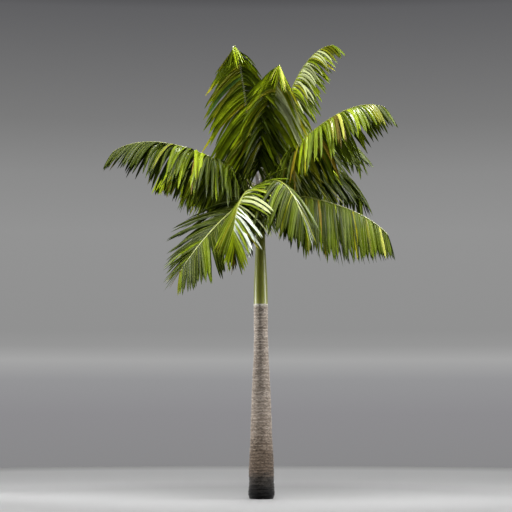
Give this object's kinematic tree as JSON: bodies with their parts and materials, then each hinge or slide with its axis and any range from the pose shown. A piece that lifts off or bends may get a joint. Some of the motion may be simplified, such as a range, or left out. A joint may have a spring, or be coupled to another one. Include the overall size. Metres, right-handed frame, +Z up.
{
  "type": "palm tree",
  "caption": "Young imperial palm rooted in the ground: ringed grey trunk swollen at the foot, smooth green crownshaft and a crown of arching feather fronds with hanging leaflets.",
  "frame": {"origin": "centre of the flat cut under the trunk, at ground level", "axes": "+Z up the trunk, +X to the right and -Y towards the viewer of the picture"},
  "size_m": [5.759, 5.7148, 8.954],
  "materials": {
    "bark": "rough ringed grey-brown bark, darker at the foot",
    "sheath": "smooth waxy olive green",
    "frond": "glossy green leaflets on yellow-green ribs"
  },
  "bodies": {
    "root": {"crownshaft": "sheath", "frond_back_left": "frond", "frond_back_low": "frond", "frond_back_right": "frond", "frond_back_up": "frond", "frond_front_left_stem": "frond", "frond_front_left_tip": "frond", "frond_front_right": "frond", "frond_high_right": "frond", "frond_left": "frond", "frond_left_back": "frond", "frond_low_left": "frond", "frond_low_right": "frond", "frond_mid_right": "frond", "frond_right_back": "frond", "frond_top_front": "frond", "frond_top_left": "frond", "frond_top_right": "frond", "trunk": "bark"}
  },
  "joints": []
}
